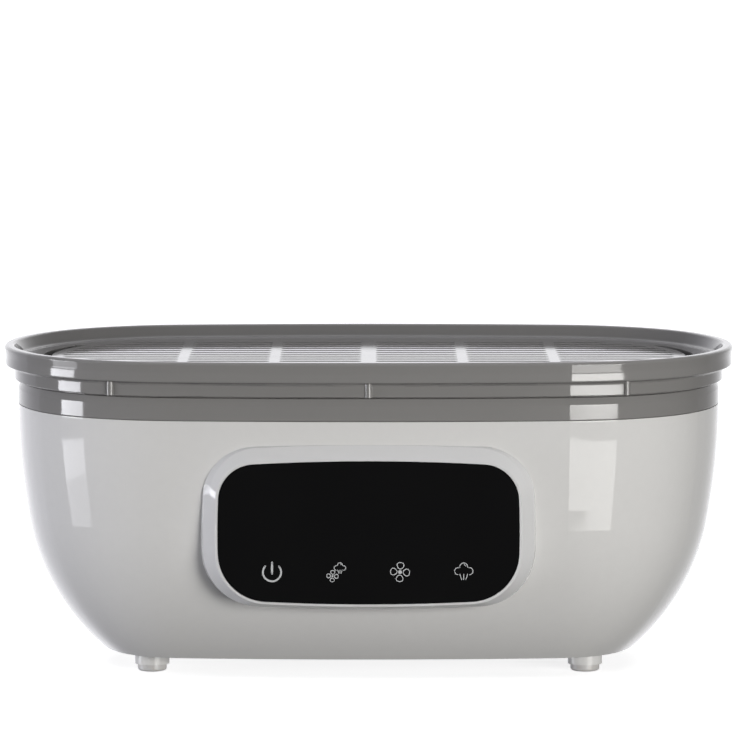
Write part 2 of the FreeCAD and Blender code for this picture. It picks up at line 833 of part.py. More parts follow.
def make_heating():
    x = "plate_x"
    under = "basin_floor - basin_wall"
    seal_low = under + " - seal_thick"
    ring_outer = cylinder("seal_outer", "plate_radius", "seal_thick", (x, "0", seal_low))
    ring_inner = cylinder("seal_inner", "plate_hole_radius - 0.5", "seal_thick + 2",
                          (x, "0", seal_low + " - 1"))
    keep(cut("plate_seal", ring_outer, ring_inner), "plate_seal")

    top = seal_low + " - 0.02"
    dish = "plate_hole_radius - 6"
    turned("heating_plate", x, "0", [
        ("0", top + " - 3.6"), (dish + " - 4", top + " - 3.2"), (dish, top),
        ("plate_radius", top), ("plate_radius", top + " - plate_thick"),
        (dish + " + 0.5", top + " - plate_thick"),
        (dish + " - 3.5", top + " - plate_thick - 3.2"), ("0", top + " - plate_thick - 3.6")])

    level = top + " - plate_thick - 3.8 - element_tube_radius"
    loop = doc.addObject("Part::Torus", "element_loop")
    bind(loop, "Radius1", "element_radius")
    bind(loop, "Radius2", "element_tube_radius")
    loop.Angle3 = 300
    loop.Placement.Rotation = FreeCAD.Rotation(UP, 30)
    bind(loop, "Placement.Base.x", x)
    bind(loop, "Placement.Base.z", level)
    ends = []
    for side in ("-1", "1"):
        ends.append(cylinder("element_end", "element_tube_radius - 0.7", "14",
                             (x + " + element_radius * 0.866", side + " * element_radius * 0.5",
                              level + " - 14"), UP))
    keep(fuse("heating_element", [loop] + ends), "heating_element")

    clamp = new_body("plate_clamp")
    sketch = sketch_on(clamp, "XY_Plane", top + " - plate_thick - 1.7")
    circle(sketch, x, "0", "clamp_screw_radius + 5")
    circle(sketch, x, "0", "plate_hole_radius - 3")
    for place_x, place_y in (("0.5", "0.8660"), ("-1", "0"), ("0.5", "-0.8660")):
        circle(sketch, "%s + clamp_screw_radius * %s" % (x, place_x),
               "clamp_screw_radius * %s" % place_y, "screw_clearance")
    pad(clamp, sketch, "clamp_thick")
    clamp_low = size(top + " - plate_thick - 1.7")
    screws("clamp_screws", clamp_places(), clamp_low - 0.6, clamp_low + 5.6, clamp_low - 1.9)

    body = cylinder("thermostat_body", "thermostat_radius", "7",
                    (x, "0", top + " - plate_thick - 11"))
    flange = cylinder("thermostat_flange", "thermostat_radius + 2.5", "0.8",
                      (x, "0", top + " - plate_thick - 4.7"))
    keep(fuse("thermostat", [body, flange]), "thermostat")
    keep(cylinder("thermal_fuse", "fuse_radius", "fuse_length",
                  (x + " + 14", "-fuse_length / 2", top + " - plate_thick - 6"),
                  Vector(0, 1, 0)), "thermal_fuse")


# ---- drying fan ---------------------------------------------------------------------------


def make_duct():
    outer = block("duct_outer", ("2 * fan_half", "2 * fan_half", "duct_high - fan_high - 0.2"),
                  ("fan_x", "0", "fan_high + 0.1"))
    inner = block("duct_inner", ("2 * (fan_half - duct_wall)", "2 * (fan_half - duct_wall)",
                                 "duct_high - fan_high - duct_wall"),
                  ("fan_x", "0", "fan_high - 0.2"))
    hollow = cut("duct_hollow", outer, inner)
    bore = cylinder("duct_bore", "chimney_bore", "20", ("fan_x", "0", "duct_high - 10"))
    keep(cut("air_duct", hollow, bore), "air_duct")

    heater = new_body("ptc_heater")
    sketch = sketch_on(heater, "XY_Plane", "ptc_low")
    rectangle(sketch, "fan_x", "0", "2 * ptc_half", "2 * ptc_half")
    for row in range(-5, 6):
        for side in ("-1", "1"):
            rectangle(sketch, "fan_x + %s * ptc_half / 2" % side, "%s * fin_pitch" % row,
                      "ptc_half - 5", "fin_gap")
    pad(heater, sketch, "ptc_thick")


def make_fan():
    x = size("fan_x")
    half = size("fan_half")
    low, high = size("fan_low"), size("fan_high")
    frame = rounded_block(Vector(x - half, -half, low), Vector(x + half, half, high), 4, UP)
    frame = frame.cut(rod(size("fan_bore_radius"), low - 1, high + 1, x, 0))
    hub = rod(size("hub_radius"), low, low + 2, x, 0)
    struts = []
    wide = size("strut_width")
    for angle in (45, 135, 225, 315):
        strut = Part.makeBox(half, wide, 2, Vector(x, -wide / 2, low))
        strut.rotate(Vector(x, 0, 0), UP, angle)
        struts.append(strut.common(rod(size("fan_bore_radius") + 1, low, high, x, 0)))
    frame = frame.multiFuse([hub] + struts)
    corner = half - size("fan_screw_margin")
    places = [(x + sx * corner, sy * corner) for sx in (-1, 1) for sy in (-1, 1)]
    frame = frame.cut([rod(size("screw_clearance"), low - 1, high + 1, *place)
                       for place in places])
    feature("fan_frame", frame.removeSplitter())
    screws("fan_screws", places, low - 0.1, high + 4, low - 2.0)

    motor = cylinder("motor_can", "motor_radius", "motor_high - fan_low - 2.1",
                     ("fan_x", "0", "fan_low + 2.1"))
    bearing = cylinder("motor_bearing", "shaft_radius + bearing_clearance",
                       "motor_high - fan_low + 2", ("fan_x", "0", "fan_low + 3.2"))
    keep(cut("fan_motor", motor, bearing), "fan_motor")


def make_impeller():
    x = size("fan_x")
    hub, tip = size("hub_radius"), size("blade_tip_radius")
    low, high = size("fan_low") + 3, size("fan_high") - 2
    cup = rod(hub, low, high, x, 0).cut(rod(hub - size("hub_wall"), low - 1, high - 2, x, 0))
    shaft = rod(size("shaft_radius"), size("fan_low") + 3.6, high - 1, x, 0)
    blades = []
    count = int(size("blade_count"))
    for index in range(count):
        sections = []
        for distance, pitch, chord in ((hub - 1.2, 42, 13.0), (tip, 24, 19.0)):
            middle = Vector(x + distance, 0, (low + high) / 2)
            along = Vector(0, math.cos(math.radians(pitch)), math.sin(math.radians(pitch)))
            thick = Vector(0, -along.z, along.y) * size("blade_half_thick")
            ends = [middle - along * (chord / 2), middle + along * (chord / 2)]
            points = [ends[0] - thick, ends[1] - thick, ends[1] + thick, ends[0] + thick]
            sections.append(Part.makePolygon(points + points[:1]))
        blade = upright(Part.makeLoft(sections, True, True))
        blade.rotate(Vector(x, 0, 0), UP, index * 360 / count)
        blades.append(blade.common(rod(tip, low, high, x, 0)))
    feature("fan_impeller", cup.multiFuse([shaft] + blades).removeSplitter())


def make_outlet():
    x = size("fan_x")
    radius, top = size("cap_radius"), size("cap_high")
    low = size("chimney_high") - 8
    wall = size("cap_wall")
    inner = radius - wall
    rounding = 6
    profile = [(Vector(x, 0, top), 0), (Vector(x + radius, 0, top), rounding),
               (Vector(x + radius, 0, low), 0), (Vector(x + inner, 0, low), 0),
               (Vector(x + inner, 0, top - wall), rounding - wall),
               (Vector(x, 0, top - wall), 0)]
    dome = Part.Face(Part.Wire(rounded_edges(profile))).revolve(Vector(x, 0, 0), UP, 360)
    dome = upright(dome)
    slots = []
    count, wide = int(size("cap_slot_count")), size("cap_slot_width")
    for index in range(count):
        tool = Part.makeBox(6, wide, 9, Vector(x + radius - 4, -wide / 2, low + 5))
        tool.rotate(Vector(x, 0, 0), UP, index * 360 / count)
        slots.append(tool)
    clips = []
    for angle in (11.25, 101.25, 191.25, 281.25):
        start = size("chimney_radius") + 0.1
        clip = Part.makeBox(radius - 1.5 - start, 4, 3, Vector(x + start, -2, low))
        clip.rotate(Vector(x, 0, 0), UP, angle)
        clips.append(clip)
    feature("outlet_cap", dome.cut(slots).multiFuse(clips).removeSplitter())

    outer = cylinder("outlet_seal_outer", "chimney_radius - 0.5", "1.6",
                     ("fan_x", "0", "chimney_high + 0.05"))
    inner = cylinder("outlet_seal_inner", "chimney_bore", "4",
                     ("fan_x", "0", "chimney_high - 1"))
    keep(cut("outlet_seal", outer, inner), "outlet_seal")


# ---- air filter at the back ---------------------------------------------------------------


def make_filter():
    x, z = size("filter_x"), size("filter_z")
    half_width, half_height = size("cover_half_width"), size("cover_half_height")
    cover = ring(shell_profile()).common(filter_opening(0))
    louvres = []
    half_length = half_width - size("louvre_margin")
    tall = size("louvre_height")
    for row in range(-3, 3):
        level = z + (row + 0.5) * size("louvre_pitch")
        low = Vector(x - half_length, 60, level - tall / 2)
        high = Vector(x + half_length, size("half_depth") + 5, level + tall / 2)
        louvres.append(rounded_block(low, high, 1.0, Vector(0, 1, 0)))
    cover = cover.cut(louvres)
    back, thick = size("filter_back"), size("filter_thick")
    wide, tall = size("filter_half_width"), size("filter_half_height")
    frame = size("filter_frame")
    carrier = Part.makeBox(2 * (wide + frame), thick + 18, 2 * (tall + frame),
                           Vector(x - wide - frame, back, z - tall - frame))
    carrier = carrier.cut(Part.makeBox(2 * wide, thick + 20, 2 * tall,
                                       Vector(x - wide, back - 1, z - tall)))
    carrier = carrier.common(filled_side(-1.0))
    feature("filter_cover", cover.fuse(carrier).removeSplitter())

    media = new_body("air_filter")
    sketch = sketch_on(media, "XY_Plane", "filter_z - filter_half_height + 0.1")
    count = int(size("filter_fold_count"))
    fold = "((filter_half_width - 0.1) / %d)" % count
    front, deep = "filter_back + filter_thick - 0.5", "filter_back + 1"
    ridge = []
    for index in range(2 * count + 1):
        along = "filter_x - filter_half_width + 0.1 + %d * %s" % (index, fold)
        ridge.append((along, front if index % 2 else deep + " + 3.4"))
    valley = [(across, front + " - 3.2" if along == front else deep)
              for across, along in reversed(ridge)]
    polygon(sketch, ridge + valley)
    pad(media, sketch, "2 * filter_half_height - 0.2")

    outer = block("bay_outer", ("2 * filter_half_width + 8", "8.5", "2 * filter_half_height + 8"),
                  ("filter_x", "filter_back + 4.8", "filter_z - filter_half_height - 4"))
    inner = block("bay_inner", ("2 * filter_half_width + 4", "40", "2 * filter_half_height + 4"),
                  ("filter_x", "filter_back + 5.5", "filter_z - filter_half_height - 2"))
    keep(cut("filter_bay", outer, inner), "filter_bay")


# ---- power --------------------------------------------------------------------------------


def make_inlet():
    x, z = size("inlet_x"), size("inlet_z")
    face, depth = size("inlet_face"), size("inlet_depth")
    body = inlet_block(0, face - depth, face)
    half_width, half_height = size("socket_half_width"), size("socket_half_height")
    hollow = rounded_block(Vector(x - half_width, face - 16, z - half_height),
                           Vector(x + half_width, face + 1, z + half_height),
                           2.5, Vector(0, 1, 0))
    body = body.cut(hollow)
    pitch = size("pin_pitch")
    pin_places = [(x - pitch, z - 1.5), (x, z + 2.5), (x + pitch, z - 1.5)]
    pins = []
    for pin_x, pin_z in pin_places:
        low = Vector(pin_x - 1, face - depth - 5, pin_z - 2)
        pins.append(Part.makeBox(2, depth + 3, 4, low))
        body = body.cut(Part.makeBox(2.04, depth + 20, 4.04, low - Vector(0.02, 2, 0.02)))
    feature("power_inlet", body)
    feature("inlet_pins", Part.makeCompound(pins))


def make_power_board():
    x, level = "power_board_x", "power_board_z"
    board = new_body("power_board")
    sketch = sketch_on(board, "XY_Plane", level)
    rectangle(sketch, x, "0", "power_board_width", "power_board_depth")
    places = []
    for sx in ("-1", "1"):
        for sy in ("-1", "1"):
            across = "%s + %s * (power_board_width / 2 - power_board_margin)" % (x, sx)
            along = "%s * (power_board_depth / 2 - power_board_margin)" % sy
            circle(sketch, across, along, "screw_clearance")
            places.append((size(across), size(along)))
    pad(board, sketch, "board_thick")
    top = level + " + board_thick + 0.05"
    keep(block("transformer", ("24", "20", "19"), (x + " - 22", "10", top)), "transformer")
    keep(block("relay", ("19", "15.5", "15.5"), (x + " + 8", "14", top)), "relay")
    keep(cylinder("capacitor", "6.5", "22", (x + " + 28", "-10", top)), "capacitor")
    keep(block("terminal_block", ("30", "9", "11"), (x + " - 16", "-17", top)),
         "terminal_block")
    fins = new_body("heat_sink")
    sketch = sketch_on(fins, "XY_Plane", top)
    points = [("power_board_x + 2", "-22"), ("power_board_x + 18", "-22")]
    for index in range(4):
        inner, outer = "%s" % (-22 + 4 * index + 1.5), "%s" % (-22 + 4 * index + 4)
        points += [("power_board_x + 18", inner), ("power_board_x + 5", inner),
                   ("power_board_x + 5", outer), ("power_board_x + 18", outer)]
    points += [("power_board_x + 18", "-4.5"), ("power_board_x + 2", "-4.5")]
    polygon(sketch, points)
    pad(fins, sketch, "18")
    top = size("power_board_z + board_thick")
    screws("power_board_screws", places, size("base_bottom + cover_thick") + 1, top + 0.1,
           top + 0.05)
    return places


def make_wires():
    plate_x, fan_x = size("plate_x"), size("fan_x")
    board_x = size("power_board_x")
    block_top = size("power_board_z") + size("board_thick") + 11.3
    inlet_y = size("inlet_face") - size("inlet_depth") - 5.3
    inlet_x, inlet_z = size("inlet_x"), size("inlet_z")
    mains = []
    for across, drop, shift in ((-7, -1.5, -6), (0, 2.5, 0), (7, -1.5, 6)):
        x = board_x - 16 + shift
        mains.append([(inlet_x + across, inlet_y, inlet_z + drop),
                      (inlet_x + across, inlet_y - 12, inlet_z + drop - 1),
                      (x - 8, 18 + shift, inlet_z - 6), (x, -14, inlet_z - 10),
                      (x, -17, block_top + 6), (x, -17, block_top)])
    wires("mains_wires", mains, size("thick_wire_radius"))
    element_x = plate_x + 0.866 * size("element_radius")
    element_low = size("basin_floor") - 26.5
    heater = []
    for side in (-1, 1):
        y = side * size("element_radius") / 2
        heater.append([(element_x, y, element_low), (element_x, y, element_low - 10),
                       (element_x + 9, y * 0.8, element_low - 16),
                       (board_x - 4 + 3 * side, -6 + 2 * side, element_low - 22),
                       (board_x - 4 + 3 * side, -17, block_top + 7),
                       (board_x - 4 + 3 * side, -17, block_top)])
    wires("heater_wires", heater, size("thick_wire_radius"))
    panel_y = size("board_y") + 0.2
    level = size("window_low") + 8
    top = size("power_board_z") + size("board_thick") + 0.2
    panel = []
    for index in range(5):
        x = board_x + 24 + 2.2 * index
        panel.append([(x - 6, panel_y, level), (x - 6, panel_y + 9, level),
                      (x - 3, panel_y + 22, level - 9), (x, -38, 34), (x, -26, 30),
                      (x, -25.5, top)])
    wires("panel_wires", panel, size("thin_wire_radius"))
    fan = []
    for index in range(2):
        y = 4 + 2.4 * index
        fan.append([(fan_x - 12, y, size("fan_low") - 0.2), (fan_x - 13, y, size("fan_low") - 9),
                    (fan_x - 30, y + 3, 30), (board_x + 38, y + 4, 27),
                    (board_x + 36, y + 5, top)])
    wires("fan_wires", fan, size("thin_wire_radius"))


# ---- bottom cover and feet ----------------------------------------------------------------


def foot_places():
    x, y = size("foot_x"), size("foot_y")
    return {"front_left": (-x, -y), "front_right": (x, -y), "rear_left": (-x, y),
            "rear_right": (x, y)}


def make_bottom(board_places):
    low, thick = size("base_bottom"), size("cover_thick")
    gap = size("joint_gap")
    cover = slab(size("lip_inset") + gap, low, low + thick)
    for x, y in foot_places().values():
        cover = cover.fuse(rod(size("foot_radius"), size("pad_height") + 0.05, low + 1, x, y))
    board = size("power_board_z")
    for x, y in board_places:
        post = rod(size("board_post_radius"), low + thick - 0.5, board - 0.05, x, y)
        pilot = rod(size("screw_pilot_radius"), low + thick + 0.5, board + 1, x, y)
        cover = cover.fuse(post).cut(pilot)
    for x, y in post_places():
        cover = cover.cut(rod(size("screw_clearance"), low - 1, low + thick + 1, x, y))
        cover = cover.cut(rod(size("recess_radius"), low - 1, low + size("recess_depth"), x, y))
    vents = []
    width = size("vent_width")
    for row in range(-4, 5):
        start = Vector(size("fan_x") - 20, row * size("vent_pitch") - width / 2, low - 1)
        vents.append(Part.makeBox(size("vent_length"), width, thick + 2, start))
    feature("bottom_cover", cover.cut(vents).removeSplitter())
    screws("cover_screws", post_places(), low + 0.5, low + thick + 9, low + 0.2,
           radius=1.4, head_radius=2.9, head=1.1)
    for name, (x, y) in foot_places().items():
        foot = new_body("foot_pad_" + name)
        sketch = sketch_on(foot, "XY_Plane")
        side_x = "1" if x > 0 else "-1"
        side_y = "1" if y > 0 else "-1"
        circle(sketch, side_x + " * foot_x", side_y + " * foot_y", "pad_radius")
        disc = pad(foot, sketch, "pad_height")
        rounding = foot.newObject("PartDesign::Fillet", foot.Name + "_edge")
        doc.recompute()
        lowest = [index for index, edge in enumerate(disc.Shape.Edges, start=1)
                  if edge.BoundBox.ZMax < TINY]
        rounding.Base = (disc, ["Edge%d" % index for index in lowest])
        bind(rounding, "Radius", "pad_rounding")
        foot.Tip = rounding


def main():
    make_housing()
    make_trim_ring()
    make_basin()
    make_tray()
    make_bezel()
    make_panel()
    make_heating()
    make_duct()
    make_fan()
    make_impeller()
    make_outlet()
    make_filter()
    make_inlet()
    board_places = make_power_board()
    make_wires()
    make_bottom(board_places)
    doc.recompute()
    for item in doc.Objects:
        bad = [state for state in item.State if state in ("Invalid", "Error")]
        if bad:
            raise RuntimeError("%s is %s" % (item.Label, bad))
    os.makedirs("parts", exist_ok=True)
    for item in nodes:
        if item.Shape.isNull() or not item.Shape.isValid():
            raise RuntimeError("%s has no valid shape" % item.Label)
        item.Shape.exportStep("parts/%s.step" % item.Label)
    print("%d sub-parts written" % len(nodes))


main()
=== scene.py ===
"""Looks of the bottle steriliser base: procedural materials, printed icons, studio, camera."""
import json
import math

import bpy
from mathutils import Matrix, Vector


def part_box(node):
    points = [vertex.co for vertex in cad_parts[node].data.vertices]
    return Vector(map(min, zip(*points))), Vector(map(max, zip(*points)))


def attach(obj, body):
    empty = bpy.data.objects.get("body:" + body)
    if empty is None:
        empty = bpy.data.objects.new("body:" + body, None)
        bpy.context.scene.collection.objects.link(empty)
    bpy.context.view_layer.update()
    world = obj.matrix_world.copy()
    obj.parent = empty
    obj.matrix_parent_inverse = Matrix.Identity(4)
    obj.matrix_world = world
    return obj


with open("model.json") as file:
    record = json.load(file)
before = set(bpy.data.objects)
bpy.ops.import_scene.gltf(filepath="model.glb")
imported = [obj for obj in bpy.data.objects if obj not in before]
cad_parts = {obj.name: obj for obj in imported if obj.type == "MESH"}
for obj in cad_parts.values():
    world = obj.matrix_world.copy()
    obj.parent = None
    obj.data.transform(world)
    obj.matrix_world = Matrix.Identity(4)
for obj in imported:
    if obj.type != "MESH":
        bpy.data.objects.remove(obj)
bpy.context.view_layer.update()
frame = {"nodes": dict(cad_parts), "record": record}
nodes = frame["nodes"]
scene = bpy.context.scene

# ---- node trees ---------------------------------------------------------------------------

# Where a Mix node keeps its colour sockets, which share their names with its other kinds.
MIX_FIRST, MIX_SECOND, MIX_RESULT = 6, 7, 2


class Graph:
    """An emptied node tree, with short ways to add nodes and to join them."""

    def __init__(self, tree):
        self.tree = tree
        tree.nodes.clear()

    def add(self, kind, **settings):
        """A node. Each setting is one of its own properties, or else the value of an input, whose
        name has underscores for spaces."""
        node = self.tree.nodes.new(kind)
        for key, value in settings.items():
            if hasattr(node, key):
                setattr(node, key, value)
            else:
                node.inputs[key.replace("_", " ")].default_value = value
        return node

    def link(self, source, target):
        self.tree.links.new(source, target)

    def feed(self, socket, value):
        """Gives an input another node's output, a colour or a number."""
        if isinstance(value, bpy.types.NodeSocket):
            self.link(value, socket)
        elif isinstance(value, tuple):
            socket.default_value = (*value, 1.0)
        else:
            socket.default_value = value

    def split(self, vector):
        """The X, Y and Z outputs of a vector."""
        node = self.add("ShaderNodeSeparateXYZ")
        self.link(vector, node.inputs["Vector"])
        return node.outputs["X"], node.outputs["Y"], node.outputs["Z"]

    def math(self, operation, *values):
        """Arithmetic on numbers or outputs."""
        node = self.add("ShaderNodeMath", operation=operation)
        for socket, value in zip(node.inputs, values):
            self.feed(socket, value)
        return node.outputs["Value"]

    def remap(self, value, reach, onto=(0.0, 1.0)):
        """Spreads the stretch of a value from reach[0] to reach[1] over the stretch onto."""
        node = self.add("ShaderNodeMapRange", From_Min=reach[0], From_Max=reach[1],
                        To_Min=onto[0], To_Max=onto[1])
        self.link(value, node.inputs["Value"])
        return node.outputs["Result"]

    def blend(self, share, first, second, way="MIX"):
        """Colour mix. Each side is a colour or an output."""
        node = self.add("ShaderNodeMix", data_type="RGBA", blend_type=way)
        self.feed(node.inputs["Factor"], share)
        self.feed(node.inputs[MIX_FIRST], first)
        self.feed(node.inputs[MIX_SECOND], second)
        return node.outputs[MIX_RESULT]


# ---- materials ----------------------------------------------------------------------------

# Every material by its name, which for a CAD node is its slot in the record.
MATERIALS = {}

# The middle of a noise's range, where most of its values lie.
MIDDLE = (0.3, 0.7)
WIDER_MIDDLE = (0.25, 0.75)


class Paint(Graph):
    """A procedural material: a Principled shader, and textures that drive it.

    Texture scales are in patches to the metre, and depths are in metres."""

    def __init__(self, name, **sockets):
        self.material = bpy.data.materials.new(name)
        self.material.use_nodes = True
        MATERIALS[name] = self.material
        super().__init__(self.material.node_tree)
        self.output = self.add("ShaderNodeOutputMaterial")
        self.shader = self.add("ShaderNodeBsdfPrincipled", **sockets)
        self.link(self.shader.outputs["BSDF"], self.output.inputs["Surface"])
        self.place = self.add("ShaderNodeTexCoord").outputs["Object"]
        self.bump = None

    def noise(self, scale, detail=3.0, rough=0.55, distort=0.0, where=None):
        """Cloudy noise, from 0 to 1."""
        node = self.add("ShaderNodeTexNoise", Scale=scale, Detail=detail, Roughness=rough,
                        Distortion=distort)
        self.link(where or self.place, node.inputs["Vector"])
        return node.outputs["Fac"]

    def cells(self, scale, feature="F1", spread=1.0):
        """Distance to the nearest cell's middle, or to its edge. The spread scatters the cells."""
        node = self.add("ShaderNodeTexVoronoi", feature=feature, Scale=scale, Randomness=spread)
        self.link(self.place, node.inputs["Vector"])
        return node.outputs["Distance"]

    def stretched(self, x, y, z):
        """The place on the object, scaled along each axis."""
        node = self.add("ShaderNodeMapping", Scale=(x, y, z))
        self.link(self.place, node.inputs["Vector"])
        return node.outputs["Vector"]

    def colour(self, value):
        self.link(value, self.shader.inputs["Base Color"])

    def roughness(self, value):
        self.link(value, self.shader.inputs["Roughness"])

    def relief(self, height, depth):
        """Bump on top of any earlier bump. The depth is that of a height of one."""
        node = self.add("ShaderNodeBump", Strength=1.0, Distance=depth)
        self.link(height, node.inputs["Height"])
        if self.bump:
            self.link(self.bump, node.inputs["Normal"])
        self.bump = node.outputs["Normal"]
        self.link(self.bump, self.shader.inputs["Normal"])


def tone(colour, by):
    """The colour made lighter or darker."""
    return tuple(min(1.0, channel * by) for channel in colour)


def moulded(name, colour, gloss, ripple, grain, drift, **sockets):
    """Injection-moulded plastic: slow colour drift, flow marks in the gloss, orange peel, grain.

    gloss is the least and the most roughness, ripple and grain are depths, and drift is the share
    by which the colour wanders."""
    paint = Paint(name, **sockets)
    slow = paint.noise(9.0, detail=2.0)
    fine = paint.noise(240.0, detail=4.0, rough=0.6)
    drifted = paint.blend(paint.remap(slow, MIDDLE), tone(colour, 1 - drift),
                          tone(colour, 1 + drift))
    specks = paint.remap(fine, (0.35, 0.8), (0.0, 0.25))
    paint.colour(paint.blend(specks, drifted, tone(colour, 0.93)))
    flow = paint.noise(26.0, detail=5.0, rough=0.6, distort=0.6,
                       where=paint.stretched(1.0, 1.0, 2.2))
    paint.roughness(paint.remap(flow, MIDDLE, gloss))
    paint.relief(paint.noise(85.0, detail=2.0, rough=0.5), ripple)
    paint.relief(paint.noise(2600.0, detail=2.0, rough=0.6), grain)


def metal(name, colour, gloss, scratch=(60.0, 900.0, 60.0), depth=6e-6):
    """Drawn or plated metal: fine parallel scratches with faint blotches.

    scratch says how closely the scratches follow each other along each axis."""
    paint = Paint(name, Metallic=1.0)
    lines = paint.noise(3.0, detail=6.0, rough=0.7, where=paint.stretched(*scratch))
    blotch = paint.noise(45.0, detail=4.0, rough=0.6, distort=0.4)
    paint.colour(paint.blend(paint.remap(blotch, (0.3, 0.75)), tone(colour, 0.82),
                             tone(colour, 1.08)))
    paint.roughness(paint.remap(lines, WIDER_MIDDLE, gloss))
    paint.relief(lines, depth)


def spun_plate(name, light, scaled, gloss):
    """Stainless steel turned on a lathe, with rings of fine scratches and faint limescale."""
    low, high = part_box("heating_plate")
    middle = (low + high) / 2
    paint = Paint(name, Metallic=1.0)
    shift = paint.add("ShaderNodeVectorMath", operation="SUBTRACT")
    shift.inputs[1].default_value = (middle.x, middle.y, 0.0)
    paint.link(paint.place, shift.inputs[0])
    x, y, _ = paint.split(shift.outputs["Vector"])
    radius = paint.math("SQRT", paint.math("ADD", paint.math("MULTIPLY", x, x),
                                           paint.math("MULTIPLY", y, y)))
    rings_to_metre = 1400.0
    rings = paint.add("ShaderNodeCombineXYZ")
    paint.link(paint.math("MULTIPLY", radius, rings_to_metre), rings.inputs["X"])
    paint.link(paint.math("ARCTAN2", y, x), rings.inputs["Y"])
    lines = paint.noise(1.0, detail=5.0, rough=0.7, where=rings.outputs["Vector"])
    limescale = paint.noise(60.0, detail=6.0, rough=0.65, distort=0.8)
    paint.colour(paint.blend(paint.remap(limescale, (0.52, 0.75), (0.0, 0.6)), light, scaled))
    paint.roughness(paint.remap(lines, WIDER_MIDDLE, gloss))
    paint.relief(lines, 8e-6)
    paint.relief(limescale, 1.5e-5)


def soft_rubber(name, colour, gloss):
    """Silicone: light passes a little way in, and the skin is satin with a fine tooth."""
    paint = Paint(name, Subsurface_Weight=0.35, Subsurface_Scale=0.002,
                  Subsurface_Radius=(1.0, 0.9, 0.8))
    mottle = paint.noise(160.0, detail=4.0, rough=0.6)
    paint.colour(paint.blend(mottle, tone(colour, 0.94), tone(colour, 1.04)))
    paint.roughness(paint.remap(paint.noise(500.0), MIDDLE, gloss))
    paint.relief(paint.noise(1400.0, rough=0.6), 1.2e-5)


def black_glass(name, dark, less_dark, gloss):
    """Back-printed touch glass: near black, with faint smears in its polish."""
    paint = Paint(name, IOR=1.5, Specular_IOR_Level=0.32)
    paint.colour(paint.blend(paint.noise(30.0), dark, less_dark))
    smear = paint.noise(14.0, detail=6.0, rough=0.65, distort=1.2,
                        where=paint.stretched(1.0, 1.0, 1.8))
    paint.roughness(paint.remap(smear, (0.35, 0.75), gloss))
    paint.relief(paint.noise(22.0, detail=1.0), 4e-6)


def circuit_board(name, bare, over_copper, tin, gloss):
    """Solder mask over copper runs, with tinned pads."""
    paint = Paint(name)
    runs = paint.cells(210.0, feature="DISTANCE_TO_EDGE", spread=0.35)
    copper = paint.remap(runs, (0.04, 0.08), (1.0, 0.0))
    mask = paint.blend(copper, bare, over_copper)
    pads = paint.remap(paint.cells(330.0), (0.10, 0.13), (1.0, 0.0))
    paint.colour(paint.blend(pads, mask, tin))
    paint.roughness(paint.remap(paint.noise(300.0), MIDDLE, gloss))
    paint.relief(copper, 3.5e-5)


def fibre(name, colour, scale, depth):
    """Matted fibres with open pores between them."""
    paint = Paint(name, Roughness=0.95, Sheen_Weight=0.25, Sheen_Roughness=0.5)
    strands = paint.noise(scale, detail=6.0, rough=0.75, distort=2.5)
    pores = paint.cells(scale * 1.6)
    paint.colour(paint.blend(strands, tone(colour, 0.62), tone(colour, 1.1)))
    paint.relief(strands, depth)
    paint.relief(pores, depth * 0.6)


def ink_with_painted_glow(name, colour, painted_glow, gloss):
    """Screen-printed ink: fine dots of thicker and thinner cover. The ink also has a faint painted
    glow, an emission that stands in for light although nothing lights it from within.
    """
    # Painted glow: the ink emits a little light of its own colour.
    paint = Paint(name, Emission_Strength=painted_glow, Emission_Color=(*colour, 1.0))
    dots = paint.noise(5200.0, rough=0.6)
    paint.colour(paint.blend(dots, tone(colour, 0.86), colour))
    paint.roughness(paint.remap(paint.noise(1800.0, detail=2.0), MIDDLE, gloss))
    paint.relief(dots, 6e-6)


# What shows from the front and through the slots of the rack.
moulded("housing_white", (0.80, 0.795, 0.785), (0.04, 0.07), ripple=6e-6, grain=4e-7, drift=0.008,
        Specular_IOR_Level=0.25)
moulded("bezel_white", (0.78, 0.78, 0.785), (0.05, 0.08), ripple=4e-6, grain=4e-7, drift=0.008,
        Specular_IOR_Level=0.35)
moulded("rack_grey", (0.2671, 0.2616, 0.2561), (0.05, 0.1), ripple=6e-6, grain=1e-6, drift=0.02)
moulded("basin_white", (0.72, 0.715, 0.70), (0.22, 0.34), ripple=1e-5, grain=4e-6, drift=0.03)
black_glass("panel_black", (0.0035, 0.0035, 0.0038), (0.0052, 0.0052, 0.0055), (0.03, 0.085))
soft_rubber("foot_rubber", (0.66, 0.65, 0.64), (0.28, 0.42))
spun_plate("steel_plate", (0.60, 0.60, 0.61), (0.72, 0.70, 0.66), (0.2, 0.4))
# The icons' ink carries a faint painted glow, though it is no lamp.
ink_with_painted_glow("icon_ink_painted_glow", (0.56, 0.57, 0.58), 0.12, (0.34, 0.5))

# What shows from behind or from below, and the works inside.
moulded("inner_black", (0.028, 0.028, 0.030), (0.38, 0.55), ripple=8e-6, grain=1.2e-5, drift=0.2)
moulded("socket_black", (0.022, 0.022, 0.023), (0.30, 0.42), ripple=5e-6, grain=9e-6, drift=0.15)
moulded("display_dark", (0.03, 0.032, 0.038), (0.15, 0.28), ripple=4e-6, grain=2e-6, drift=0.15)
moulded("component_dark", (0.045, 0.045, 0.05), (0.35, 0.5), ripple=5e-6, grain=8e-6, drift=0.15)
moulded("component_blue", (0.03, 0.09, 0.30), (0.2, 0.35), ripple=3e-6, grain=3e-6, drift=0.12)
moulded("wire_red", (0.42, 0.025, 0.02), (0.35, 0.5), ripple=6e-6, grain=5e-6, drift=0.1)
moulded("wire_grey", (0.30, 0.30, 0.31), (0.35, 0.5), ripple=6e-6, grain=5e-6, drift=0.1)
metal("zinc_steel", (0.62, 0.63, 0.66), (0.22, 0.42))
metal("contact_brass", (0.76, 0.62, 0.36), (0.18, 0.34), scratch=(400.0, 60.0, 400.0))
metal("element_aluminium", (0.66, 0.66, 0.67), (0.38, 0.62), scratch=(300.0, 300.0, 300.0),
      depth=3e-5)
